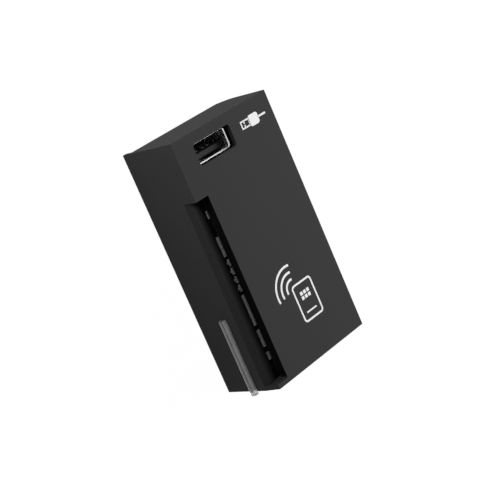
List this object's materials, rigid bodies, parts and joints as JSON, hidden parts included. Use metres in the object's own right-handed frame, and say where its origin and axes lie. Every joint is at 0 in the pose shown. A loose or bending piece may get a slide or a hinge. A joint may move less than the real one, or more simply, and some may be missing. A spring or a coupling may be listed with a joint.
{
  "type": "usb chip card reader and programmer",
  "caption": "Small flat matt black box with a card slot along its left edge, an upright type-A socket window, a clear light pipe and white signs on the front.",
  "frame": {"origin": "middle of the rear face, on the plane that the reader rests on", "axes": "+X to the right across the front face, +Y towards the socket end, +Z out of the front face"},
  "size_m": [0.0391, 0.0735, 0.0204],
  "materials": {
    "shell_plastic": "fine matt black moulding",
    "cover_plastic": "fine matt black moulding",
    "zinc_steel": "zinc plated",
    "clear_plastic": "clear polished acrylic",
    "lamp_resin": "milky epoxy",
    "moulded_nylon": "black glass filled nylon",
    "board_laminate": "black solder mask",
    "stamped_steel": "bright stamped",
    "tinned_bronze": "tin plated",
    "gilt_brass": "gold flash",
    "polyimide_film": "amber film",
    "copper": "bare copper",
    "ferrite": "sintered dark grey",
    "chip_resin": "moulded epoxy",
    "crystal_can": "nickel lid",
    "tantalum_case": "moulded case",
    "capacitor_body": "fired ceramic",
    "resistor_body": "glazed film"
  },
  "bodies": {
    "reader": {"antenna_coil": "copper", "antenna_foil": "polyimide_film", "antenna_spring_pins": "gilt_brass", "bulk_capacitor": "tantalum_case", "card_board": "board_laminate", "card_board_screws": "zinc_steel", "card_contact_block": "moulded_nylon", "card_interface_chip": "chip_resin", "card_switch_contact": "tinned_bronze", "ceramic_capacitors": "capacitor_body", "chip_resistors": "resistor_body", "crystals": "crystal_can", "dock_connector": "moulded_nylon", "dock_contacts": "gilt_brass", "ferrite_sheet": "ferrite", "front_shell": "shell_plastic", "hub_chip": "chip_resin", "inductor_windings": "copper", "lamp_spacer": "moulded_nylon", "light_pipe": "clear_plastic", "link_header": "moulded_nylon", "link_pins": "gilt_brass", "link_socket": "moulded_nylon", "lower_slide_plate": "stamped_steel", "main_board": "board_laminate", "matching_inductors": "ferrite", "microcontroller": "chip_resin", "radio_chip": "chip_resin", "rear_cover": "cover_plastic", "rear_cover_screws": "zinc_steel", "slide_plate_rivets": "stamped_steel", "status_lamp": "lamp_resin", "surge_chip": "chip_resin", "upper_slide_plate": "stamped_steel", "usb_socket_insulator": "moulded_nylon", "usb_socket_shell": "stamped_steel", "voltage_regulator": "chip_resin"},
    "mouth_contacts": {"mouth_card_contacts": "tinned_bronze"},
    "far_contacts": {"far_card_contacts": "tinned_bronze"},
    "card_switch": {"card_switch_leaf": "tinned_bronze"},
    "socket_contacts": {"usb_socket_contacts": "tinned_bronze"}
  },
  "joints": [
    {"name": "mouth_contacts_press", "type": "hinge", "parent": "reader", "child": "mouth_contacts", "pos_m": [-0.01302, -0.00456, 0.01635], "axis": [0, 1, 0], "range_deg": [0, 2.57], "stiffness_Nm_per_rad": 0.05},
    {"name": "far_contacts_press", "type": "hinge", "parent": "reader", "child": "far_contacts", "pos_m": [0.01405, -0.00456, 0.01635], "axis": [0, -1, 0], "range_deg": [0, 2.74], "stiffness_Nm_per_rad": 0.05},
    {"name": "card_switch_press", "type": "hinge", "parent": "reader", "child": "card_switch", "pos_m": [0.01405, 0.01233, 0.01635], "axis": [0, -1, 0], "range_deg": [0, 4], "stiffness_Nm_per_rad": 0.05},
    {"name": "socket_contacts_press", "type": "hinge", "parent": "reader", "child": "socket_contacts", "pos_m": [-0.00505, 0.02996, 0.0041], "axis": [1, 0, 0], "range_deg": [0, 1.62], "stiffness_Nm_per_rad": 0.05}
  ]
}
